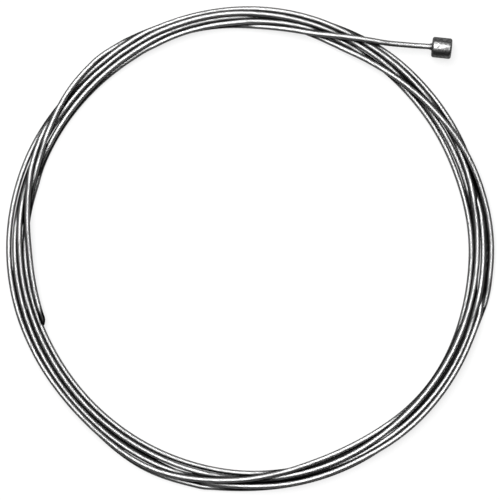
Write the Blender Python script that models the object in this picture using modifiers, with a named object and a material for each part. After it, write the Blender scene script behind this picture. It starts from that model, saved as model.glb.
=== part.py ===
"""Shift cable: a bare stranded inner wire, coiled as it is sold, with a cylindrical head on one end.

The coil lies flat. The origin is the coil's centre on the surface it lies on, +Z is up, units are metres.
Seen from above, the wire runs clockwise from its free end, round the coil, to the head.
"""
import math

import bpy
from mathutils import Matrix, Vector

MM = 0.001

# Driving dimensions, at real size
WIRE_D = 1.2 * MM
COIL_RADIUS = 49.6 * MM
COIL_ROWS = (4, 3)
LAY_GAP = 0.25 * MM

HEAD_D = 4.4 * MM
HEAD_LENGTH = 4.2 * MM
HEAD_EDGE = 0.45 * MM
NECK_D = 1.65 * MM
NECK_LENGTH = 0.55 * MM
BORE_CLEARANCE = 0.06 * MM
BORE_END_WALL = 1.0 * MM
DIMPLE_D = 1.6 * MM
DIMPLE_DEPTH = 0.2 * MM

# Where the head lies beside the coil, seen from above
HEAD_CLOCK = 47.96
HEAD_LANE = 8.65 * MM
HEAD_HEADING = -6.0

# The free stretch from the head to the coil: clock angle, distance outside the middle of the turns,
# and how far the wire has climbed, from the head's axis (0) to its place on top of the coil (1)
LEAD_ROUTE = (
    (50.98, 6.42 * MM, 0.04),
    (53.67, 4.74 * MM, 0.26),
    (55.63, 3.66 * MM, 0.50),
    (57.66, 2.76 * MM, 0.78),
    (61.00, 1.61 * MM, 0.98),
    (65.40, 0.25 * MM, 1.00),
    (69.40, -0.74 * MM, 1.00),
)
POINTS_PER_SPAN = 2

# How finely the round shapes are divided
COIL_STEPS = 80
HEAD_STEPS = 48
EDGE_SEGMENTS = 4
LOBE_OVERLAP = 50.0
LOBE_STEP = 40.0
WELD = 0.001 * MM

# Sizes that follow from the ones above
WIRE_R = WIRE_D / 2
HEAD_R = HEAD_D / 2
BORE_R = WIRE_R + BORE_CLEARANCE
BORE_DEPTH = HEAD_LENGTH - BORE_END_WALL
ROW_RISE = WIRE_D * math.sin(math.radians(60))
COIL_TOP = WIRE_D + ROW_RISE * (len(COIL_ROWS) - 1)
CROSSING_HEIGHT = COIL_TOP + LAY_GAP + WIRE_R

STEEL_COLOUR = (0.56, 0.56, 0.55, 1.0)
HEAD_COLOUR = (0.42, 0.42, 0.42, 1.0)


def clear_scene():
    for old in list(bpy.data.objects):
        bpy.data.objects.remove(old)


def new_collection(name):
    collection = bpy.data.collections.new(name)
    bpy.context.scene.collection.children.link(collection)
    return collection


def metal(name, colour, roughness):
    material = bpy.data.materials.new(name)
    material.use_nodes = True
    shader = material.node_tree.nodes["Principled BSDF"]
    shader.inputs["Base Color"].default_value = colour
    shader.inputs["Metallic"].default_value = 1.0
    shader.inputs["Roughness"].default_value = roughness
    return material


def on_the_floor(clock, lane, height):
    """A point given by its clock angle, its distance outside the middle of the turns, and its height."""
    angle = math.radians(clock)
    radius = COIL_RADIUS + lane
    return Vector((radius * math.cos(angle), radius * math.sin(angle), height))


def turned(name, profile, steps, collection, material):
    """A closed body of revolution about local Z, from a profile of (radius, height) points at +X.

    The profile runs down its outer side, so that the faces point outwards.
    """
    on_axis = profile[0][0] == 0 and profile[-1][0] == 0
    count = len(profile)
    edges = [(i, i + 1) for i in range(count - 1)]
    if not on_axis:
        edges.append((count - 1, 0))
    mesh = bpy.data.meshes.new(name)
    mesh.from_pydata([(radius, 0.0, height) for radius, height in profile], edges, [])
    piece = bpy.data.objects.new(name, mesh)
    collection.objects.link(piece)
    screw = piece.modifiers.new("turn", "SCREW")
    screw.axis = "Z"
    screw.angle = math.tau
    screw.steps = steps
    screw.render_steps = steps
    screw.use_merge_vertices = True
    screw.merge_threshold = WELD
    screw.use_smooth_shade = True
    mesh.materials.append(material)
    return piece


def packed_wires():
    """Centres of the wires round the outside of the coil's section, anticlockwise from the inner one below."""
    rows = []
    for level, count in enumerate(COIL_ROWS):
        height = WIRE_R + level * ROW_RISE
        first = -(count - 1) / 2
        rows.append([Vector(((first + i) * WIRE_D, height)) for i in range(count)])
    middle = rows[1:-1]
    right_side = [row[-1] for row in middle]
    left_side = [row[0] for row in reversed(middle)]
    return rows[0] + right_side + rows[-1][::-1] + left_side


def outward(start, end):
    """The direction, in degrees, that faces out from an edge of an anticlockwise outline."""
    step = end - start
    return math.degrees(math.atan2(step.y, step.x)) - 90.0


def coil_section():
    """Outline of the packed wires: one arc for each outer wire, with a shallow valley between neighbours."""
    wires = packed_wires()
    count = len(wires)
    outline = []
    for i, wire in enumerate(wires):
        begin = outward(wires[i - 1], wire)
        end = outward(wire, wires[(i + 1) % count])
        turn = (end - begin) % 360.0
        span = turn + 2 * LOBE_OVERLAP
        segments = 2 * math.ceil(span / (2 * LOBE_STEP))
        segments = max(segments, 4)
        for k in range(segments + 1):
            angle = math.radians(begin - LOBE_OVERLAP + span * k / segments)
            lane = wire.x + WIRE_R * math.cos(angle)
            height = wire.y + WIRE_R * math.sin(angle)
            outline.append((COIL_RADIUS + lane, height))
    return outline[::-1]


def make_wire_coil(collection, material):
    """The turns of the coil as one ring, with the section of the wires lying packed together."""
    return turned("wire_coil", coil_section(), COIL_STEPS, collection, material)


def head_profile():
    """Half section of the head about its axis: its seat at height 0, the wire's side below it."""
    profile = [(0.0, HEAD_LENGTH - DIMPLE_DEPTH)]
    profile.append((DIMPLE_D / 2 - DIMPLE_DEPTH, HEAD_LENGTH - DIMPLE_DEPTH))
    profile.append((DIMPLE_D / 2, HEAD_LENGTH))
    for k in range(EDGE_SEGMENTS + 1):
        angle = math.pi / 2 * (1 - k / EDGE_SEGMENTS)
        radius = HEAD_R - HEAD_EDGE + HEAD_EDGE * math.cos(angle)
        profile.append((radius, HEAD_LENGTH - HEAD_EDGE + HEAD_EDGE * math.sin(angle)))
    for k in range(EDGE_SEGMENTS + 1):
        angle = -math.pi / 2 * k / EDGE_SEGMENTS
        radius = HEAD_R - HEAD_EDGE + HEAD_EDGE * math.cos(angle)
        profile.append((radius, HEAD_EDGE + HEAD_EDGE * math.sin(angle)))
    profile.append((NECK_D / 2, 0.0))
    profile.append(((NECK_D / 2 + BORE_R) / 2, -NECK_LENGTH * 0.6))
    profile.append((BORE_R + WIRE_D * 0.06, -NECK_LENGTH))
    profile.append((BORE_R, -NECK_LENGTH))
    profile.append((BORE_R, BORE_DEPTH))
    profile.append((0.0, BORE_DEPTH))
    return profile


def head_frame():
    """The head's seat face, centred on the wire, with local Z pointing away from the wire."""
    seat = on_the_floor(HEAD_CLOCK, HEAD_LANE, HEAD_R)
    heading = math.radians(HEAD_HEADING)
    axis = Vector((math.cos(heading), math.sin(heading), 0.0))
    down = Vector((0.0, 0.0, -1.0))
    side = axis.cross(down)
    frame = Matrix((down, side, axis)).transposed().to_4x4()
    frame.translation = seat
    return frame


def make_head(collection, material):
    """The cast head, which pulls on the shifter's pocket with its wire side."""
    head = turned("cable_head", head_profile(), HEAD_STEPS, collection, material)
    head.matrix_world = head_frame()
    return head


def smooth_through(points):
    """Catmull-Rom points through the given ones."""
    ends = [2 * points[0] - points[1]] + points + [2 * points[-1] - points[-2]]
    curve = [points[0]]
    for i in range(1, len(ends) - 2):
        before, start, end, after = ends[i - 1:i + 3]
        for k in range(1, POINTS_PER_SPAN + 1):
            t = k / POINTS_PER_SPAN
            flat = 2 * start + (end - before) * t
            bend = (2 * before - 5 * start + 4 * end - after) * t ** 2
            twist = (3 * start - before - 3 * end + after) * t ** 3
            curve.append((flat + bend + twist) / 2)
    return curve


def lead_points():
    """From the bottom of the head's bore, straight out of its neck, and over the coil."""
    frame = head_frame()
    route = [frame @ Vector((0.0, 0.0, BORE_DEPTH - BORE_CLEARANCE))]
    route.append(frame @ Vector((0.0, 0.0, BORE_DEPTH / 2)))
    route.append(frame @ Vector((0.0, 0.0, -NECK_LENGTH)))
    for clock, lane, climb in LEAD_ROUTE:
        height = HEAD_R + (CROSSING_HEIGHT - HEAD_R) * climb
        route.append(on_the_floor(clock, lane, height))
    return smooth_through(route)


def make_wire_lead(collection, material):
    """The stretch of wire between the head and the coil, seated in the head's bore."""
    points = lead_points()
    curve = bpy.data.curves.new("wire_lead", "CURVE")
    curve.dimensions = "3D"
    curve.bevel_depth = WIRE_R
    curve.bevel_resolution = 2
    curve.use_fill_caps = True
    spline = curve.splines.new("POLY")
    spline.points.add(len(points) - 1)
    for place, point in zip(spline.points, points):
        place.co = (*point, 1.0)
    lead = bpy.data.objects.new("wire_lead", curve)
    collection.objects.link(lead)
    curve.materials.append(material)
    return lead


def main():
    clear_scene()
    parts = new_collection("shift_cable")
    strand_steel = metal("stainless_strand", STEEL_COLOUR, 0.3)
    cast_metal = metal("cast_head", HEAD_COLOUR, 0.35)
    make_wire_coil(parts, strand_steel)
    make_head(parts, cast_metal)
    make_wire_lead(parts, strand_steel)


main()
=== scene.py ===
# %% [markdown]
# # A shift cable, coiled as it is sold
#
# A shift cable is one bare strand of stainless steel, laid up from nineteen hard drawn wires, with
# a small cast head on one end and nothing on the other. It comes wound in a loose flat coil. Two
# pieces make the whole model: the strand, whose turns lie over and under each other, and the head.
#
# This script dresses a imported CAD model. The model is loaded first, and each piece made here takes
# the place of a plain solid and stays in that solid's place.

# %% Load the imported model
import math

import bmesh
import bpy
import numpy as np
from mathutils import Matrix, Vector


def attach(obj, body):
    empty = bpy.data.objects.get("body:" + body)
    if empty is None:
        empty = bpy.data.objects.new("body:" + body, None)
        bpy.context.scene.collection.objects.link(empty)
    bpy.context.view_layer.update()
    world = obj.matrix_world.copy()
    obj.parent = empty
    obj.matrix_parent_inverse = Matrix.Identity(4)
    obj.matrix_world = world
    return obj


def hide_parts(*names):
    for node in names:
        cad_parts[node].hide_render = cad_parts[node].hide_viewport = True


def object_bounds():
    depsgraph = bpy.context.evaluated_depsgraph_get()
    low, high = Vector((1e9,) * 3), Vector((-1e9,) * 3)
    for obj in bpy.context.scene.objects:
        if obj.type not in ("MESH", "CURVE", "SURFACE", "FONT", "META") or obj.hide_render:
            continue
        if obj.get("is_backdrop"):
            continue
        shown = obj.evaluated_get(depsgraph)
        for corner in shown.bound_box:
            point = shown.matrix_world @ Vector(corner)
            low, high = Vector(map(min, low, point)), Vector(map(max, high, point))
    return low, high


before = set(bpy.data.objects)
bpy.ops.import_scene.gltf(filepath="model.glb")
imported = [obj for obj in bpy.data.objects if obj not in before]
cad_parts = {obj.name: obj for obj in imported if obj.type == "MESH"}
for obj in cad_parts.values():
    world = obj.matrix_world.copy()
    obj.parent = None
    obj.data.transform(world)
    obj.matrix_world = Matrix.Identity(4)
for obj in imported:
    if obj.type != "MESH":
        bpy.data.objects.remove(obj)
cad_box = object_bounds()
print("nodes", sorted(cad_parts))

# %% [markdown]
# ## The sizes of the real cable
#
# Everything is in metres. The wire of a shift cable is 1.2 mm thick and its head is a cylinder of
# about 4.4 by 4.2 mm. All the other sizes follow the same few values as the CAD model does.

# %% Sizes
MM = 0.001
WIRE_D = 1.2 * MM
WIRE_R = WIRE_D / 2
COIL_RADIUS = 49.6 * MM

HEAD_D = 4.4 * MM
HEAD_R = HEAD_D / 2
HEAD_LENGTH = 4.2 * MM
HEAD_EDGE = 0.45 * MM
NECK_D = 1.65 * MM
NECK_LENGTH = 0.55 * MM
DIMPLE_D = 1.6 * MM
DIMPLE_DEPTH = 0.2 * MM
BORE_DEPTH = 3.14 * MM

HEAD_CLOCK = 47.96
HEAD_LANE = 8.65 * MM
HEAD_HEADING = -6.0

# The lead's middle where it crosses over two rows of wires, with a little room below it
ROW_RISE = WIRE_D * math.sin(math.radians(60))
LAY_GAP = 0.25 * MM
CROSSING_HEIGHT = WIRE_D + ROW_RISE + LAY_GAP + WIRE_R
print("crossing at", round(CROSSING_HEIGHT / MM, 2), "mm above the floor")

# %% [markdown]
# ## Colours and nodes
#
# Colours are easy to pick as sRGB hex values, but shaders calculate in linear light, so one
# function turns the one into the other. A second one adds a node with its settings and its links,
# which keeps each material below down to a readable list.


# %% Helpers for materials
def srgb(hex_value):
    """A colour written as #rrggbb, in the linear light that shaders work in."""
    channels = [int(hex_value[i:i + 2], 16) / 255 for i in (1, 3, 5)]
    linear = [c / 12.92 if c <= 0.04045 else ((c + 0.055) / 1.055) ** 2.4 for c in channels]
    return (*linear, 1.0)


def add_node(tree, kind, links=None, values=None, **settings):
    """A new node. links and values are given by the input's name or number."""
    node = tree.nodes.new(kind)
    for name, value in settings.items():
        setattr(node, name, value)
    for name, value in (values or {}).items():
        node.inputs[name].default_value = value
    for name, socket in (links or {}).items():
        tree.links.new(socket, node.inputs[name])
    return node


def new_material(name):
    """An empty material, with its node tree and its output."""
    material = bpy.data.materials.new(name)
    material.use_nodes = True
    material.node_tree.nodes.clear()
    output = add_node(material.node_tree, "ShaderNodeOutputMaterial")
    return material, material.node_tree, output


# %% [markdown]
# ## Camera
#
# The picture looks straight down on a flat coil, so the camera does too. A long lens from far away
# keeps the top of the bundle, which is nearer to the camera, from looking wider than its foot.

# %% Camera
FRAME_WIDTH = 107.15 * MM
FRAME_CENTRE = Vector((0.04 * MM, -0.24 * MM, 1.5 * MM))
LENS = 300.0
SENSOR = 36.0
CLIP_NEAR, CLIP_FAR = 0.01, 20.0

camera_data = bpy.data.cameras.new("camera")
camera_data.lens = LENS
camera_data.sensor_width = SENSOR
camera = bpy.data.objects.new("camera", camera_data)
camera_height = FRAME_WIDTH * LENS / SENSOR
camera.location = FRAME_CENTRE + Vector((0.0, 0.0, camera_height))
camera_data.clip_start = CLIP_NEAR
camera_data.clip_end = CLIP_FAR
bpy.context.scene.collection.objects.link(camera)
bpy.context.scene.camera = camera
bpy.context.scene.view_settings.view_transform = "Standard"
print("camera", round(camera_height / MM), "mm above the coil")

# %% [markdown]
# ## Light and floor
#
# Polished wire shows what is round it more than any colour of its own. A large soft light, overhead
# and a little to the upper left, gives each wire a bright line along its top, and a dim room leaves
# its sides dark. The floor is white paper. It is lit by the same lamp, and a little glow, seen by
# the camera and in reflections alone, brings it to a clean white without more light on the metal.

# %% Light
LAMP_WIDTH, LAMP_DEPTH = 1.2, 1.6
LAMP_PLACE = (-0.25, 0.5, 1.4)
LAMP_POWER = 92.0
ROOM_GREY = 0.02

lamp_data = bpy.data.lights.new("overhead_softbox", "AREA")
lamp_data.shape = "RECTANGLE"
lamp_data.size = LAMP_WIDTH
lamp_data.size_y = LAMP_DEPTH
lamp_data.energy = LAMP_POWER
lamp = bpy.data.objects.new("overhead_softbox", lamp_data)
lamp.location = LAMP_PLACE
lamp.rotation_euler = Vector(LAMP_PLACE).to_track_quat("Z", "Y").to_euler()
bpy.context.scene.collection.objects.link(lamp)

room = bpy.data.worlds.new("dim_room")
room.use_nodes = True
background = room.node_tree.nodes["Background"]
background.inputs["Color"].default_value = srgb("#ffffff")
background.inputs["Strength"].default_value = ROOM_GREY
bpy.context.scene.world = room
print("lamp", LAMP_WIDTH, "x", LAMP_DEPTH, "m,", round(lamp.location.length, 2), "m from the coil")

# %% Floor
FLOOR_SIZE = 6.0
PAPER_GLOW = 0.76

bpy.ops.object.select_all(action="DESELECT")
bpy.ops.mesh.primitive_plane_add(size=FLOOR_SIZE)
floor = bpy.context.active_object
floor.name = "paper_floor"

paper, tree, output = new_material("matt_white_paper")
rays = add_node(tree, "ShaderNodeLightPath")
seen = add_node(tree, "ShaderNodeMath",
                {0: rays.outputs["Is Camera Ray"], 1: rays.outputs["Is Glossy Ray"]},
                operation="MAXIMUM")
seen = add_node(tree, "ShaderNodeMath",
                {0: seen.outputs[0], 1: rays.outputs["Is Transmission Ray"]},
                operation="MAXIMUM")
glow_level = add_node(tree, "ShaderNodeMath", {0: seen.outputs[0]}, {1: PAPER_GLOW},
                      operation="MULTIPLY")
sheet = add_node(tree, "ShaderNodeBsdfDiffuse", values={"Color": srgb("#585858")})
glow = add_node(tree, "ShaderNodeEmission", {"Strength": glow_level.outputs[0]})
lit = add_node(tree, "ShaderNodeAddShader", {0: sheet.outputs[0], 1: glow.outputs[0]})
tree.links.new(lit.outputs[0], output.inputs["Surface"])
floor.data.materials.append(paper)
floor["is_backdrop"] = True
print("floor", FLOOR_SIZE, "m wide")

# %% [markdown]
# ## The route of the wire
#
# The coil is one wire, so its route is one table, followed from the head to the free end. A row is
# a clock angle in degrees, a lane, which is the distance outside the mean turn in steps of
# 1.07 mm, and a level, which is 0 on the floor and 1 for a wire that lies on two others. There are
# six and a half passes. In each crossing one wire has a higher level than the other, and where
# strands are hidden the table lets them change places underneath.
#
# What the eye can follow is the line of light along each wire. It doesn't lie on the wire's middle
# but towards the lamp, which stands to the upper left, at 120 degrees. The table holds these lines,
# and the middles are set back from them when the turns are laid.

# %% Route table
LANE = 1.0715 * MM
# How much higher a wire lies in the valley between two others
LEVEL = 0.87 * WIRE_D
# In lanes: how far a line of light stands off towards the lamp, and outwards all round
SHINE_OFFSET, SHINE_CLOCK = 0.20, 120.0
READING_OFFSET = 0.10

# The free stretch from the head: clock angle, distance outside the mean turn, and how far the wire
# has climbed, from the head's axis (0) to its place on top of the turns (1)
LEAD_ROUTE = (
    (50.98, 6.42 * MM, 0.04),
    (53.67, 4.74 * MM, 0.26),
    (55.63, 3.66 * MM, 0.50),
    (57.66, 2.76 * MM, 0.78),
    (61.00, 1.61 * MM, 0.98),
    (65.40, 0.25 * MM, 1.00),
    (69.40, -0.74 * MM, 1.00),
)

PASSES = (
    # From the crossing over the bundle, down its inner side and back out underneath
    ((75, -1.3, 1.6), (80, -1.45, 1.2), (85, -1.52, .9), (90, -1.4, .5), (94, -1.15, .2),
     (99, -.85, 0), (110, -.6, 0), (120, -.45, 0), (130, -.25, 0), (140, .1, 0), (150, .5, 0),
     (160, .75, .1), (167, .85, .4), (175, .85, .8), (182, .8, 1), (190, .72, 1), (200, .58, 1),
     (210, .5, 1), (225, .44, 1), (240, .6, 1), (247, .68, 1), (253, .62, .85), (257, .5, .5),
     (262, .33, .15), (268, .25, 0), (280, .25, 0), (288, .3, .2), (293, .35, .55),
     (297, .38, .85), (301, .42, 1), (308, .52, 1), (318, .68, 1), (330, .74, 1), (340, .66, 1),
     (350, .47, 1)),
    # Dives under, comes up on the inner side, then runs out to the outer edge
    ((0, .42, 1), (8, .42, .9), (16, .4, .4), (25, .33, .1), (40, .28, 0), (60, .15, 0),
     (75, .18, 0), (86, .25, .2), (92, .34, .7), (97, .4, .95), (104, .33, 1), (110, .2, 1),
     (115, 0, 1), (120, -.28, 1), (125, -.43, 1), (130, -.55, 1), (140, -.75, 1), (148, -.84, 1),
     (153, -.86, .85), (160, -.72, .5), (168, -.4, .1), (174, .1, 0), (180, .75, 0),
     (186, 1.15, 0), (192, 1.25, 0), (200, 1.12, 0), (208, .95, 0), (216, .88, 0), (226, 1.05, 0),
     (231, 1.4, 0), (235, 1.75, .05), (239, 2.1, .1), (243, 2.38, .1), (247, 2.42, .1),
     (252, 2.25, .1), (257, 2.05, 0), (262, 1.78, 0), (267, 1.58, 0), (276, 1.45, 0),
     (285, 1.45, 0), (293, 1.45, 0), (300, 1.4, 0), (308, 1.2, 0), (315, 1.1, 0), (325, 1.1, 0),
     (332, 1.15, 0), (337, 1.3, 0), (344, 1.65, .3), (350, 1.9, .7), (356, 2.02, 1)),
    # Over the bundle at the right, under the lead, and over it again below
    ((0, 2.05, 1.1), (5, 1.97, 1.2), (10, 1.77, 1.4), (15, 1.55, 1.7), (20, 1.3, 2.0),
     (25, .98, 2.1), (30, .54, 2.2), (35, .06, 2.2), (40, -.37, 2.1), (45, -.78, 2.0),
     (50, -1.18, 1.8), (55, -1.53, 1.5), (60, -1.74, 1.1), (65, -1.84, .7), (69, -1.8, .4),
     (73, -1.4, .1), (77, -1.05, 0), (83, -.8, 0), (90, -.35, 0), (97, .1, 0), (105, .42, 0),
     (113, .72, 0), (122, 1.0, 0), (132, 1.3, 0), (141, 1.5, .1), (150, 1.8, .3), (155, 1.95, .4),
     (162, 2.04, .4), (170, 2.12, .4), (176, 2.15, .5), (182, 2.12, .7), (190, 2.0, .8),
     (200, 1.75, .8), (208, 1.42, .8), (214, 1.2, .8), (220, 1.12, .8), (226, 1.15, .9),
     (230, 1.27, 1.1), (235, 1.52, 1.3), (240, 1.76, 1.4), (245, 1.82, 1.6), (250, 1.56, 1.9),
     (255, 1.08, 2.1), (260, .54, 2.2), (265, .06, 2.2), (270, -.42, 2.0), (275, -.95, 1.7),
     (280, -1.37, 1.4), (285, -1.77, 1.2), (290, -1.97, 1.0), (296, -2.04, .9), (302, -1.93, .7),
     (308, -1.7, .3), (314, -1.35, 0), (320, -1.15, 0), (328, -1.2, 0), (335, -1.4, .1),
     (342, -1.68, .4), (350, -1.88, .6)),
    # The inner side, then under everything, and up again on the outer side
    ((0, -1.98, .6), (10, -2.1, .6), (17, -2.24, .6), (24, -2.2, .6), (30, -2.07, .6),
     (37, -1.9, .5), (43, -1.75, .4), (50, -1.45, .4), (57, -1.18, .6), (62, -1.06, .9),
     (68, -.7, 1.0), (73, -.38, 1.1), (80, -.42, 1.1), (85, -.48, 1.1), (92, -.58, 1.1),
     (100, -.68, 1.1), (108, -.76, 1.0), (114, -.85, .8), (120, -1.0, .4), (127, -1.1, .1),
     (135, -1.2, 0), (150, -1.2, 0), (165, -1.15, 0), (175, -1.2, 0), (183, -1.2, 0),
     (189, -.85, 0), (195, -.35, 0), (202, -.02, 0), (210, .05, 0), (218, .02, 0), (226, 0, 0),
     (235, .05, 0), (241, .1, 0), (246, .22, 0), (251, .6, 0), (256, 1.0, .1), (261, 1.14, .45),
     (266, 1.1, .9), (272, 1.15, 1.05), (280, 1.28, 1.1), (287, 1.25, 1.05), (293, 1.18, 1),
     (298, 1.14, 1), (303, 1.24, 1), (308, 1.44, 1), (313, 1.55, 1), (320, 1.53, 1),
     (328, 1.46, 1), (334, 1.38, 1), (340, 1.3, .9), (346, 1.22, .7), (352, 1.12, .5)),
    # Bulges out at the upper left, then crosses over to the inner side
    ((0, 1.08, .4), (8, 1.05, .4), (16, 1.0, .4), (22, 1.05, .6), (27, 1.2, .8), (31, 1.3, 1.0),
     (38, 1.42, 1.0), (45, 1.56, 1.0), (53, 1.74, .9), (60, 1.72, .6), (67, 1.6, .2),
     (75, 1.45, 0), (85, 1.4, 0), (95, 1.42, 0), (103, 1.55, 0), (110, 1.85, .1), (115, 2.1, .3),
     (118, 2.25, .6), (121, 2.38, .9), (125, 2.5, 1.1), (130, 2.48, 1.3), (135, 2.3, 1.6),
     (140, 1.85, 2.0), (145, 1.2, 2.1), (150, .55, 2.1), (155, -.07, 2.0), (160, -.5, 1.8),
     (164, -.78, 1.4), (168, -.95, 1.1), (175, -1.06, 1.0), (182, -1.17, 1.0), (190, -1.32, 1),
     (195, -1.46, 1), (200, -1.62, 1), (205, -1.75, 1), (210, -1.85, .9), (220, -1.94, .8),
     (232, -1.97, .7), (242, -1.9, .6), (252, -1.8, .5), (260, -1.63, .4), (268, -1.45, .3),
     (274, -1.36, .2), (281, -1.28, .1), (288, -1.17, .1), (295, -1.1, 0), (302, -.95, 0),
     (308, -.65, 0), (314, -.3, 0), (320, -.12, 0), (330, -.08, 0), (340, -.12, 0),
     (347, -.35, 0), (353, -.8, 0)),
    # Stays on top, from the inner side to the outer and back
    ((0, -1.3, 0), (7, -1.25, .2), (12, -1.15, .6), (18, -1.06, .95), (25, -1.02, 1),
     (33, -.92, 1), (38, -.82, 1), (43, -.68, 1), (48, -.52, 1), (54, -.22, 1), (59, 0, 1),
     (64, .2, 1), (70, .46, 1), (75, .68, 1), (80, .87, 1), (85, .99, 1), (90, 1.08, 1),
     (97, 1.14, 1), (104, 1.17, 1), (110, 1.12, 1), (115, 1.02, 1), (120, .88, 1), (125, .77, 1),
     (130, .67, 1), (137, .48, 1), (144, .38, .9), (152, .38, .8), (160, .42, .8), (168, .38, 1),
     (175, .18, 1), (180, 0, 1), (185, -.17, 1), (190, -.34, 1), (195, -.52, 1), (200, -.68, 1),
     (207, -.83, 1), (215, -.93, 1), (225, -.94, 1), (235, -.92, 1), (245, -.84, 1),
     (252, -.7, 1), (260, -.54, .95), (267, -.42, .9), (274, -.3, 1), (280, -.32, 1),
     (287, -.38, 1), (295, -.5, 1), (302, -.67, 1), (310, -.82, 1), (320, -.88, 1),
     (330, -.91, 1), (340, -.91, 1), (350, -.86, 1)),
    # On top, then over the bundle at the left, to the free end on the inner side
    ((0, -.75, 1), (5, -.66, 1), (10, -.5, 1), (15, -.28, 1), (20, -.08, 1), (27, .12, 1),
     (33, .3, .9), (38, .48, .9), (42, .57, 1), (47, .73, 1), (52, .89, 1), (57, 1.0, 1),
     (64, 1.2, 1), (70, 1.42, 1), (75, 1.6, 1), (80, 1.76, 1), (85, 1.86, 1), (90, 1.94, 1),
     (97, 1.96, 1), (105, 1.9, 1), (112, 1.83, 1), (118, 1.82, 1), (125, 1.69, 1), (130, 1.62, 1),
     (135, 1.55, 1), (141, 1.52, 1), (147, 1.49, 1.1), (151, 1.3, 1.4), (155, .95, 1.8),
     (160, .4, 2.0), (165, -.3, 2.1), (170, -.97, 2.0), (175, -1.52, 1.85), (180, -2.02, 1.7),
     (185, -2.23, 1.6), (190, -2.34, 1.5), (195, -2.4, 1.4), (200, -2.46, 1.3)),
)
print("route", len(PASSES), "passes,", sum(len(one) for one in PASSES), "places")

# %% [markdown]
# ## The free stretch at the head
#
# Between the head and the bundle the wire lies free, so its route is exactly the one that the CAD
# solid has: out of the bore, through the neck, and up over the turns. A Catmull-Rom curve passes
# through every point it is given, which makes it easy to say where the wire is.


# %% Free stretch
def on_the_floor(clock, lane, height):
    """A point from its clock angle, its distance outside the mean turn, and its height."""
    angle = math.radians(clock)
    radius = COIL_RADIUS + lane
    return Vector((radius * math.cos(angle), radius * math.sin(angle), height))


def lead_height(climb):
    """The wire's height on the free stretch, from its place between the head and the turns."""
    return HEAD_R + (CROSSING_HEIGHT - HEAD_R) * climb


heading = math.radians(HEAD_HEADING)
head_axis = Vector((math.cos(heading), math.sin(heading), 0.0))
seat = on_the_floor(HEAD_CLOCK, HEAD_LANE, HEAD_R)
lead = [seat + head_axis * (BORE_DEPTH / 2), seat - head_axis * NECK_LENGTH]
for clock, lane, climb in LEAD_ROUTE:
    lead.append(on_the_floor(clock, lane, lead_height(climb)))

# %% A smooth curve through points
LEAD_PER_SPAN = 3


def catmull_rom(points, per_span):
    """Points of a smooth curve through the given ones, as an array."""
    points = np.array(points)
    ends = np.vstack([2 * points[0] - points[1], points, 2 * points[-1] - points[-2]])
    curve = [points[0]]
    for i in range(1, len(ends) - 2):
        before, start, end, after = ends[i - 1:i + 3]
        for k in range(1, per_span + 1):
            t = k / per_span
            flat = 2 * start + (end - before) * t
            bend = (2 * before - 5 * start + 4 * end - after) * t ** 2
            twist = (3 * start - before - 3 * end + after) * t ** 3
            curve.append((flat + bend + twist) / 2)
    return np.array(curve)


lead_line = catmull_rom(lead, LEAD_PER_SPAN)
print("free stretch", len(lead), "places,", len(lead_line), "points")

# %% [markdown]
# ## Laying the turns
#
# A table whose places were read one by one can't keep every strand exactly one wire apart from its
# neighbours. So the wire is laid by relaxation, a simple form of simulation: at each station round
# the coil the strands are pushed apart where they are closer than a wire's width, a stiffness term
# keeps the curve smooth, a weak pull holds it near the table, and nothing may sink below the floor.
# It is made with arrays, all stations at once, so it takes a moment only.

# %% The table as smooth values at every station
STATION = 2.0
STATIONS_PER_TURN = round(360 / STATION)

knots = [(clock, lane, lead_height(climb)) for clock, lane, climb in LEAD_ROUTE]
for turn, one in enumerate(PASSES):
    for clock, lane, level in one:
        shine = SHINE_OFFSET * math.cos(math.radians(clock - SHINE_CLOCK))
        middle = lane - READING_OFFSET - shine
        knots.append((clock + 360 * turn, middle * LANE, WIRE_R + LEVEL * level))
knots = np.array(knots)


def through_knots(where, column):
    """A smooth value at each place, from one column of the knots."""
    x, y = knots[:, 0], knots[:, column]
    slope = np.gradient(y, x)
    i = np.clip(np.searchsorted(x, where) - 1, 0, len(x) - 2)
    h = x[i + 1] - x[i]
    t = (where - x[i]) / h
    start = (2 * t**3 - 3 * t**2 + 1) * y[i] + (t**3 - 2 * t**2 + t) * h * slope[i]
    end = (3 * t**2 - 2 * t**3) * y[i + 1] + (t**3 - t**2) * h * slope[i + 1]
    return start + end


first, last = LEAD_ROUTE[0][0], knots[-1, 0]
stations = np.append(np.arange(first, last, STATION), last)
wanted = np.stack([through_knots(stations, 1), through_knots(stations, 2)], axis=1)
print("stations", len(stations), "every", STATION, "degrees")

# %% Push strands apart
# The closest that two middles come. It is a little less than the wire's thickness, because the
# outer wires of one strand sink between those of the other.
CONTACT = 0.95 * WIRE_D
# Two strands begin to count as stacked when the table has them this much apart in height, and do so
# in full when it is this much more
STACKED_FROM = 0.25 * LEVEL
STACKED_OVER = 0.25 * LEVEL
LEAST_DISTANCE = WIRE_D / 100

step_length = COIL_RADIUS * math.radians(STATION)


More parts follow.
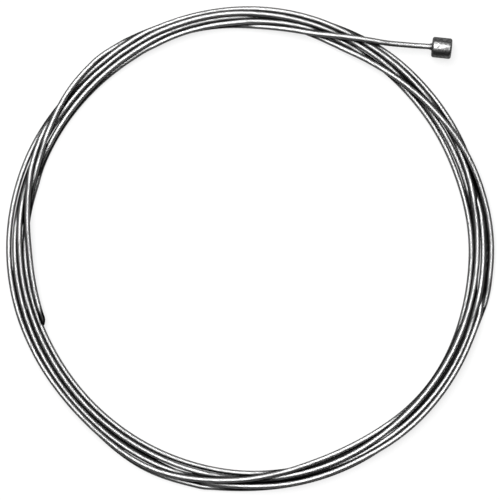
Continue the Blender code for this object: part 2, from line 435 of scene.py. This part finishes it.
def push_apart(places, share):
    """How far each station moves so that strands side by side or crossing clear each other.

    Strands that the table puts on different levels move up and down only, so that a crossing stays
    where it was seen. Those on one level move straight away from each other.
    """
    moves = np.zeros_like(places)
    slope = np.gradient(places[:, 0]) / step_length
    for turns in range(1, len(PASSES)):
        gap = STATIONS_PER_TURN * turns
        if len(places) <= gap:
            break
        near, far = slice(0, len(places) - gap), slice(gap, len(places))
        between = places[far] - places[near]
        lean = 1 / np.sqrt(1 + (slope[far] - slope[near]) ** 2)
        aside = between[:, 0] * lean
        distance = np.hypot(aside, between[:, 1])
        lack = np.maximum(CONTACT - distance, 0)
        push = between / np.maximum(distance, LEAST_DISTANCE)[:, None] * lack[:, None]
        step = wanted[far, 1] - wanted[near, 1]
        stacked = np.clip((np.abs(step) - STACKED_FROM) / STACKED_OVER, 0, 1)[:, None]
        clear = np.sqrt(np.maximum(CONTACT ** 2 - aside ** 2, 0))
        rise = np.sign(step) * np.maximum(clear - np.sign(step) * between[:, 1], 0)
        lift = np.stack([np.zeros_like(rise), rise], axis=1)
        push = (push + (lift - push) * stacked) * share
        moves[near] -= push
        moves[far] += push
    return moves


# %% Lay the turns
ROUNDS = 700
# The last rounds only push apart, so that no strand is left cutting into another
LAST_ROUNDS = 60
STIFFNESS = 0.35
PUSH_SHARE = 0.35
SINKING = 0.002 * MM
# How strongly the table pulls in each round, sideways and in height. A strand from this level up
# was seen, so it is held to its lane much more firmly than a hidden one.
PULL_LOW = np.array((0.04, 0.012))
PULL_TOP = np.array((0.30, 0.012))
SEEN_LEVEL = 0.7
# Up to this clock angle the wire still follows the free stretch
FIRST_FREE = 73.0

held = stations < FIRST_FREE
on_top = np.clip((wanted[:, 1:] - WIRE_R) / LEVEL / SEEN_LEVEL, 0, 1)
pull = PULL_LOW + (PULL_TOP - PULL_LOW) * on_top
laid = wanted.copy()
for rounds_left in range(ROUNDS, 0, -1):
    if rounds_left > LAST_ROUNDS:
        bend = np.zeros_like(laid)
        bend[1:-1] = (laid[:-2] + laid[2:]) / 2 - laid[1:-1]
        laid += STIFFNESS * bend + pull * (wanted - laid)
        laid[:, 1] -= SINKING
    laid += push_apart(laid, PUSH_SHARE)
    laid[:, 1] = np.maximum(laid[:, 1], WIRE_R)
    laid[held] = wanted[held]
moved = float(np.abs(laid - wanted).mean())
highest = float(laid[:, 1].max() + WIRE_R)
print("turns laid,", round(moved / MM, 3), "mm from the table on average,",
      "highest", round(highest / MM, 2), "mm")

# %% [markdown]
# ## One line for the whole cable
#
# The free stretch and the turns become one line, and the line gets points at even distances. The
# strand's surface is built on it, and its length is what the real cable has from end to end.

# %% The whole line
RING_STEP = 0.53 * MM
FINE_PER_SPAN = 6

turns_free = stations > LEAD_ROUTE[-1][0] + STATION
angles = np.radians(stations[turns_free])
radii = COIL_RADIUS + laid[turns_free, 0]
turns_line = np.stack([radii * np.cos(angles), radii * np.sin(angles), laid[turns_free, 1]], axis=1)
coarse = np.vstack([lead_line, turns_line])
whole = catmull_rom(coarse, FINE_PER_SPAN)
whole_clock = np.degrees(np.unwrap(np.arctan2(whole[:, 1], whole[:, 0])))
run = np.concatenate([[0], np.cumsum(np.linalg.norm(np.diff(whole, axis=0), axis=1))])
count = round(run[-1] / RING_STEP)
along = np.linspace(0, run[-1], count + 1)
line = np.stack([np.interp(along, run, whole[:, axis]) for axis in range(3)], axis=1)
print("cable line", round(run[-1], 3), "m,", len(line), "points")

# %% [markdown]
# ## The strand
#
# A 1x19 strand is a core wire, six round it, and twelve round those, so twelve wires show on the
# outside and turn round it once in about 10 mm. Each is 0.24 mm thick. A plain tube with a rope
# pattern painted on would have a smooth outline. Here the tube's rings have twelve lobes, and each
# ring is turned a little further than the last, so that the mesh's own lines follow the wires. The
# edges in the valleys are kept sharp, which leaves every wire round and the groove crisp.

# %% Frames along the line
tangents = np.gradient(line, axis=0)
tangents /= np.linalg.norm(tangents, axis=1)[:, None]
normals = np.zeros_like(line)
normals[0] = np.cross(tangents[0], (0.0, 1.0, 0.0))
normals[0] /= np.linalg.norm(normals[0])
for i in range(1, len(line)):
    carried = normals[i - 1] - tangents[i] * np.dot(normals[i - 1], tangents[i])
    normals[i] = carried / np.linalg.norm(carried)
binormals = np.cross(tangents, normals)
off_square = float(np.abs((normals * tangents).sum(axis=1)).max())
print("frames", len(normals), "and off square by", round(off_square, 6), "at most")

# %% Rings of the strand
OUTER_WIRES = 12
SIDES = 2 * OUTER_WIRES
LAY_LENGTH = 10.0 * MM
GROOVE_DEPTH = 0.06 * MM
# Near the free end the wires are fused, so their grooves fade out over a short way
FUSED_LENGTH = 4.4 * MM
FUSED_BLEND = 2.4 * MM
FUSED_SIZE = 0.94
FUSED_SMOOTHING = 0.85

valley_r = WIRE_R - GROOVE_DEPTH
distance = np.arange(len(line)) * (run[-1] / count)
fused = np.clip((distance - distance[-1] + FUSED_LENGTH) / FUSED_BLEND, 0, 1)
fused = fused * fused * (3 - 2 * fused)

turned = math.tau * distance[:, None] / LAY_LENGTH + math.pi * np.arange(SIDES)[None] / OUTER_WIRES
is_valley = (np.arange(SIDES) % 2).astype(float)
lobed = WIRE_R + (valley_r - WIRE_R) * is_valley
smooth_r = FUSED_SIZE * WIRE_R
ring_r = lobed[None] + (smooth_r - lobed[None]) * fused[:, None] * FUSED_SMOOTHING
print("strand section", round(2 * WIRE_R / MM, 2), "mm over the wires,",
      round(2 * valley_r / MM, 2), "in the valleys")

# %% Tip, and the strand's surface
TIP_LENGTH = 1.2 * MM
TIP_SCALE = 0.6
# How far a point at the very end moves along the wire, for its distance outwards from the axis
TIP_SLANT = 1.2

to_tip = np.clip((distance[-1] - distance) / TIP_LENGTH, 0, 1)
ring_r = ring_r * (TIP_SCALE + (1 - TIP_SCALE) * np.sqrt(to_tip * (2 - to_tip)))[:, None]
surface = (line[:, None]
           + normals[:, None] * (ring_r * np.cos(turned))[:, :, None]
           + binormals[:, None] * (ring_r * np.sin(turned))[:, :, None])
# The free end was snipped at a slant, longer on its outer side
outward = line * (1.0, 1.0, 0.0)
outward /= np.linalg.norm(outward, axis=1)[:, None]
outer_side = ((surface - line[:, None]) * outward[:, None]).sum(axis=2)
slant = TIP_SLANT * (1 - to_tip)[:, None] * outer_side
surface += tangents[:, None] * slant[:, :, None]
print("tip slanted by", round(float(np.ptp(slant)) / MM, 2), "mm")

# %% [markdown]
# Shade is painted where two turns lie against each other and under a turn that crosses above,
# and it draws the dark lines between the strands. So each point of the surface learns how close
# it is to the other turns. They are looked up at the same clock angle, where a turn is a circle
# in the section, and a turn that lies higher counts from further away.

# %% Where turns lie against each other
# The painted shade is full where another turn's surface is nearer than the first, and gone past the
# second
SHADE_FULL = 0.08 * MM
SHADE_FROM = 0.27 * MM
# A turn whose middle is at least this much higher than the point counts as nearer by the reach
OVERHANG_FULL = 0.45 * MM
OVERHANG_REACH = 0.42 * MM
# Straight below a turn the painted shade reaches this far to both sides of its middle
UNDER_REACH = 0.72 * MM
FAR_AWAY = 10 * MM

turn_clock = np.interp(along, run, whole_clock)
around_coil = np.degrees(np.arctan2(surface[:, :, 1], surface[:, :, 0]))
here = turn_clock[:, None] + (around_coil - turn_clock[:, None] + 180) % 360 - 180
surface_lane = np.hypot(surface[:, :, 0], surface[:, :, 1]) - COIL_RADIUS
clearance = np.full(here.shape, FAR_AWAY)
for turns in range(-len(PASSES), len(PASSES) + 1):
    there = here + 360 * turns
    met = (there > stations[0]) & (there < stations[-1]) & (turns != 0)
    lane_there = np.interp(there, stations, laid[:, 0])
    height_there = np.interp(there, stations, laid[:, 1])
    overhang = np.clip((height_there - surface[:, :, 2]) / OVERHANG_FULL, 0, 1)
    aside = np.abs(surface_lane - lane_there)
    gap = np.hypot(aside, surface[:, :, 2] - height_there) - WIRE_R
    gap -= OVERHANG_REACH * overhang ** 2
    gap = np.where(overhang == 1, np.minimum(gap, aside - UNDER_REACH), gap)
    clearance = np.where(met, np.minimum(clearance, gap), clearance)
# How much painted shade each point gets, from how near the other turns are
between = np.clip((SHADE_FROM - clearance) / (SHADE_FROM - SHADE_FULL), 0, 1)
print("between the turns", round(100 * float((between > 0.5).mean())), "% of the surface")

# %% Strand mesh
TIP_BULGE = 0.15 * MM

rings = len(line)
tip = line[-1] + tangents[-1] * TIP_BULGE
corners = np.vstack([surface.reshape(-1, 3), line[0], tip])
ring_start = np.arange(rings - 1)[:, None] * SIDES
side = np.arange(SIDES)[None]
beside = (side + 1) % SIDES
quads = np.stack([ring_start + side, ring_start + beside,
                  ring_start + SIDES + beside, ring_start + SIDES + side], axis=2).reshape(-1, 4)
start_cap = [(rings * SIDES, (k + 1) % SIDES, k) for k in range(SIDES)]
end_ring = (rings - 1) * SIDES
end_cap = [(rings * SIDES + 1, end_ring + k, end_ring + (k + 1) % SIDES) for k in range(SIDES)]

mesh = bpy.data.meshes.new("stranded_wire")
mesh.from_pydata(corners.tolist(), [], quads.tolist() + start_cap + end_cap)
strand = bpy.data.objects.new("stranded_wire", mesh)
bpy.context.scene.collection.objects.link(strand)
print("strand", len(mesh.vertices), "points,", len(mesh.polygons), "faces")

# %% [markdown]
# The material needs to know four things at each point: how deep in a groove it lies, how near to
# the fused end, how close to another turn, and where it is around and along the strand. The first
# three are attributes on the points. The fourth is the UV map, in wires round and in centimetres
# along.


# %% Strand attributes
def point_attribute(name, values, at_start, at_tip):
    """A value for each point of the rings, and one for the middle of each end."""
    attribute = mesh.attributes.new(name, "FLOAT", "POINT")
    every = np.concatenate([values.reshape(-1), [at_start, at_tip]])
    attribute.data.foreach_set("value", every.astype(np.float32))


point_attribute("groove", np.tile(is_valley, rings), 1.0, 0.0)
point_attribute("fused_end", np.repeat(fused, SIDES), 0.0, 1.0)
# The painted shade between the turns, for the material
point_attribute("shade_between_turns", between, 0.0, 0.0)
print("attributes", [one.name for one in mesh.attributes if not one.name.startswith(".")])

# %% Strand UV map
CENTIMETRES = 100

uv_map = mesh.uv_layers.new(name="round_and_along")
corner_side = np.stack([side[0], side[0] + 1, side[0] + 1, side[0]], axis=1)
corner_run = np.stack([distance[:-1], distance[:-1], distance[1:], distance[1:]], axis=1)
around = np.tile(corner_side / 2, (rings - 1, 1))
up = np.repeat(corner_run, SIDES, axis=0) * CENTIMETRES
quad_uv = np.stack([around, up], axis=2).reshape(-1)
cap_uv = np.zeros((len(start_cap) + len(end_cap)) * 3 * 2)
uv_map.data.foreach_set("uv", np.concatenate([quad_uv, cap_uv]).astype(np.float32))
print("map", OUTER_WIRES, "wires round,", round(float(up.max()), 1), "cm along")

# %% Sharp valleys
mesh.shade_smooth()
edge_ends = np.zeros(len(mesh.edges) * 2, dtype=np.int64)
mesh.edges.foreach_get("vertices", edge_ends)
edge_ends = edge_ends.reshape(-1, 2)
lengthwise = ((np.abs(edge_ends[:, 1] - edge_ends[:, 0]) == SIDES)
              & (edge_ends.max(axis=1) < rings * SIDES))
sharp = lengthwise & (edge_ends[:, 0] % 2 == 1)
mesh.attributes.new("sharp_edge", "BOOLEAN", "EDGE").data.foreach_set("value", sharp)
mesh.update()
print(int(sharp.sum()), "sharp edges in the valleys")

# %% [markdown]
# ## Drawn stainless steel
#
# The wires are drawn through a die, which leaves stainless steel bright and smooth. Steel is a
# metal, so Metallic is 1, and its dark Specular Tint, the colour of a metal at grazing angles, lets
# the flanks of each wire go dark beside the bright line on top. The colour is a neutral grey, and
# each wire differs a little from its neighbours. Shade is painted dark into the grooves and darker
# still into the places between the turns, and the fused end is burnt almost black.

# %% Strand colour
# Handling marks, about 4 mm apart
SMUDGE_SIZE = 4.0 * MM

steel, tree, output = new_material("drawn_stainless_steel")
place = add_node(tree, "ShaderNodeUVMap", uv_map="round_and_along")
split = add_node(tree, "ShaderNodeSeparateXYZ", {0: place.outputs["UV"]})
which_wire = add_node(tree, "ShaderNodeMath", {0: split.outputs["X"]}, {1: 0.5}, operation="ADD")
which_wire = add_node(tree, "ShaderNodeMath", {0: which_wire.outputs[0]}, operation="FLOOR")
which_wire = add_node(tree, "ShaderNodeMath", {0: which_wire.outputs[0]},
                      {1: float(OUTER_WIRES)}, operation="MODULO")
wire_tone = add_node(tree, "ShaderNodeTexWhiteNoise", {"W": which_wire.outputs[0]},
                     noise_dimensions="1D")
where = add_node(tree, "ShaderNodeTexCoord")
smudge = add_node(tree, "ShaderNodeTexNoise", {"Vector": where.outputs["Object"]},
                  {"Scale": 1 / SMUDGE_SIZE, "Detail": 3.0, "Roughness": 0.6})
tone = add_node(tree, "ShaderNodeMath",
                {0: wire_tone.outputs["Value"], 1: smudge.outputs["Fac"]}, operation="ADD")
tone = add_node(tree, "ShaderNodeMapRange", {"Value": tone.outputs[0]},
                {"From Min": 0.3, "From Max": 1.5})
# A Mix node for colours takes its two colours at inputs 6 and 7, and gives the result at output 2
clean = add_node(tree, "ShaderNodeMix", {0: tone.outputs[0]},
                 {6: srgb("#707070"), 7: srgb("#8e8e8e")}, data_type="RGBA")
# Painted shade in the grooves between the outer wires. The same groove mask also makes the grooves
# rougher.
in_groove = add_node(tree, "ShaderNodeAttribute", attribute_name="groove")
groove_shade_mask = add_node(tree, "ShaderNodeMapRange", {"Value": in_groove.outputs["Fac"]},
                {"From Min": 0.45, "From Max": 1.0, "To Max": 0.85})
groove_shaded = add_node(tree, "ShaderNodeMix", {0: groove_shade_mask.outputs[0], 6: clean.outputs[2]},
                   {7: srgb("#181818")}, data_type="RGBA")
# Darker painted shade where turns lie against each other and under a turn that crosses above
turn_shade = add_node(tree, "ShaderNodeAttribute", attribute_name="shade_between_turns")
turn_shaded = add_node(tree, "ShaderNodeMix", {0: turn_shade.outputs["Fac"], 6: groove_shaded.outputs[2]},
                 {7: srgb("#0c0c0c")}, data_type="RGBA")
at_end = add_node(tree, "ShaderNodeAttribute", attribute_name="fused_end")
colour = add_node(tree, "ShaderNodeMix", {0: at_end.outputs["Fac"], 6: turn_shaded.outputs[2]},
                  {7: srgb("#1a1a1a")}, data_type="RGBA")
print("strand colour", len(tree.nodes), "nodes")

# %% Strand surface
gloss = add_node(tree, "ShaderNodeMapRange", {"Value": smudge.outputs["Fac"]},
                 {"From Min": 0.3, "From Max": 0.7, "To Min": 0.30, "To Max": 0.40})
rough = add_node(tree, "ShaderNodeMath", {0: groove_shade_mask.outputs[0], 2: gloss.outputs[0]}, {1: 0.25},
                 operation="MULTIPLY_ADD")
skin = add_node(tree, "ShaderNodeBsdfPrincipled",
                {"Base Color": colour.outputs[2], "Roughness": rough.outputs[0]},
                {"Metallic": 1.0, "Specular Tint": srgb("#202020")})
tree.links.new(skin.outputs[0], output.inputs["Surface"])
mesh.materials.append(steel)
print("material", steel.name)

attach(strand, "root")
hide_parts("wire_lead", "wire_coil")

# %% [markdown]
# ## The head
#
# The head is a small zinc casting. Molten metal is pressed into a die round the end of the strand,
# which leaves a cylinder with rounded edges, a short flared neck where the wire comes out, and a
# shallow dimple in the far face. It starts as a cylinder, lying with its axis along the wire. The
# neck and the dimple are inset and extruded from its two faces, and a bevel rounds the edges.

# %% Select faces by where they look
UP, DOWN = Vector((0, 0, 1)), Vector((0, 0, -1))
ALONG = 0.95


def select_faces(edit_mesh, direction):
    """Selects the faces whose normal points along a direction, and nothing else."""
    bm = bmesh.from_edit_mesh(edit_mesh)
    bm.select_mode = {"FACE"}
    for face in bm.faces:
        face.select_set(face.normal.dot(direction) > ALONG)
    bm.select_flush_mode()
    bmesh.update_edit_mesh(edit_mesh)


# %% Cast cylinder
HEAD_SIDES = 72

bpy.ops.object.select_all(action="DESELECT")
bpy.ops.mesh.primitive_cylinder_add(vertices=HEAD_SIDES, radius=HEAD_R, depth=HEAD_LENGTH,
                                    location=(0.0, 0.0, HEAD_LENGTH / 2))
bpy.ops.object.transform_apply(location=True)
head = bpy.context.active_object
head.name = "cast_nipple"
print("cylinder", len(head.data.polygons), "faces")

# %% Dimple in the far face
# Left by the pin that holds the strand in the die. A narrow ring of faces beside each edge that is
# rounded later leaves the bevel its room. Each further step is a width and a rise.
LIP_WIDTH = 0.18 * MM
DIMPLE_STEPS = ((0.14 * MM, -DIMPLE_DEPTH), (0.12 * MM, 0.0), (0.10 * MM, 0.10 * MM))

bpy.ops.object.mode_set(mode="EDIT")
select_faces(head.data, UP)
bpy.ops.mesh.inset(thickness=HEAD_R - DIMPLE_D / 2 - LIP_WIDTH)
bpy.ops.mesh.inset(thickness=LIP_WIDTH)
for width, rise in DIMPLE_STEPS:
    bpy.ops.mesh.inset(thickness=width, depth=rise)
print("dimple", round(DIMPLE_D / MM, 2), "mm wide")

# %% Neck on the wire's side
# Each step takes a share of the narrowing from the neck to the wire, and of the neck's length
FOOT_WIDTH = 0.12 * MM
NECK_STEPS = ((0.55, 0.6), (0.25, 0.4))

select_faces(head.data, DOWN)
bpy.ops.mesh.inset(thickness=HEAD_R - NECK_D / 2 - FOOT_WIDTH)
bpy.ops.mesh.inset(thickness=FOOT_WIDTH)
for narrowing, reach in NECK_STEPS:
    bpy.ops.mesh.inset(thickness=(NECK_D / 2 - WIRE_R) * narrowing, depth=NECK_LENGTH * reach)
bpy.ops.object.mode_set(mode="OBJECT")
print("neck", round(NECK_LENGTH / MM, 2), "mm long")

# %% Rounded edges
# Height, radius and share of the rounding of each circle of edges
ROUNDED = ((0.0, HEAD_R, 1.0), (HEAD_LENGTH, HEAD_R, 1.0),
           (0.0, NECK_D / 2, 0.2), (HEAD_LENGTH, DIMPLE_D / 2, 0.2))
EDGE_SEGMENTS = 5
SAME_PLACE = 0.02 * MM
SMOOTH_BELOW = 32.0


def on_circle(point, height, radius):
    """Whether a point of the head lies on this circle round its axis."""
    return abs(point.z - height) < SAME_PLACE and abs(point.xy.length - radius) < SAME_PLACE


weights = head.data.attributes.new("bevel_weight_edge", "FLOAT", "EDGE")
for edge in head.data.edges:
    ends = [head.data.vertices[i].co for i in edge.vertices]
    for height, radius, rounded in ROUNDED:
        if all(on_circle(end, height, radius) for end in ends):
            weights.data[edge.index].value = rounded
rounding = head.modifiers.new("rounded_edges", "BEVEL")
rounding.width = HEAD_EDGE
rounding.segments = EDGE_SEGMENTS
rounding.limit_method = "WEIGHT"
bpy.ops.object.modifier_apply(modifier=rounding.name)
bpy.ops.object.shade_smooth_by_angle(angle=math.radians(SMOOTH_BELOW))
print("rounded head", len(head.data.polygons), "faces")

# %% Head in its place
head_turn = Matrix((DOWN, head_axis.cross(DOWN), head_axis)).transposed().to_4x4()
head.matrix_world = Matrix.Translation(seat) @ head_turn
bpy.ops.object.transform_apply(location=True, rotation=True, scale=True)
print("head's seat in mm", [round(float(value) / MM, 2) for value in seat])

# %% [markdown]
# ## Tumbled zinc casting
#
# The castings are tumbled together to take off their flash. That leaves a grey, slightly uneven
# skin, with soft dents about half a millimetre apart and a brighter polish where they rubbed.

# %% Head material
DENT_SIZE = 0.625 * MM
DENT_DEPTH = 0.10 * MM
GRAIN_SIZE = 0.125 * MM
GRAIN_DEPTH = 0.015 * MM

casting, tree, output = new_material("tumbled_zinc_casting")
where = add_node(tree, "ShaderNodeTexCoord")
dents = add_node(tree, "ShaderNodeTexNoise", {"Vector": where.outputs["Object"]},
                 {"Scale": 1 / DENT_SIZE, "Detail": 2.0, "Roughness": 0.5})
grain = add_node(tree, "ShaderNodeTexNoise", {"Vector": where.outputs["Object"]},
                 {"Scale": 1 / GRAIN_SIZE, "Detail": 1.0, "Roughness": 0.5})
tone = add_node(tree, "ShaderNodeMapRange", {"Value": dents.outputs["Fac"]},
                {"From Min": 0.35, "From Max": 0.65})
colour = add_node(tree, "ShaderNodeMix", {0: tone.outputs[0]},
                  {6: srgb("#4c4c4c"), 7: srgb("#767676")}, data_type="RGBA")
gloss = add_node(tree, "ShaderNodeMapRange", {"Value": dents.outputs["Fac"]},
                 {"From Min": 0.35, "From Max": 0.65, "To Min": 0.46, "To Max": 0.30})
relief = add_node(tree, "ShaderNodeBump", {"Height": dents.outputs["Fac"]},
                  {"Strength": 0.5, "Distance": DENT_DEPTH})
relief = add_node(tree, "ShaderNodeBump",
                  {"Height": grain.outputs["Fac"], "Normal": relief.outputs["Normal"]},
                  {"Strength": 0.35, "Distance": GRAIN_DEPTH})
skin = add_node(tree, "ShaderNodeBsdfPrincipled",
                {"Base Color": colour.outputs[2], "Roughness": gloss.outputs[0],
                 "Normal": relief.outputs["Normal"]},
                {"Metallic": 1.0, "Specular Tint": srgb("#9a9a9a")})
tree.links.new(skin.outputs[0], output.inputs["Surface"])
head.data.materials.append(casting)
print("material", casting.name)

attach(head, "root")
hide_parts("cable_head")

# %% [markdown]
# ## Sizes, and the end
#
# Both boxes, the CAD model's and the visual model's, are printed.

# %% Finish
boxes = {"cad": [list(map(float, corner)) for corner in cad_box],
         "visual": [list(map(float, corner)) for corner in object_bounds()]}
for name, box in boxes.items():
    print(name, "box in mm", [round((high - low) / MM, 2) for low, high in zip(*box)])
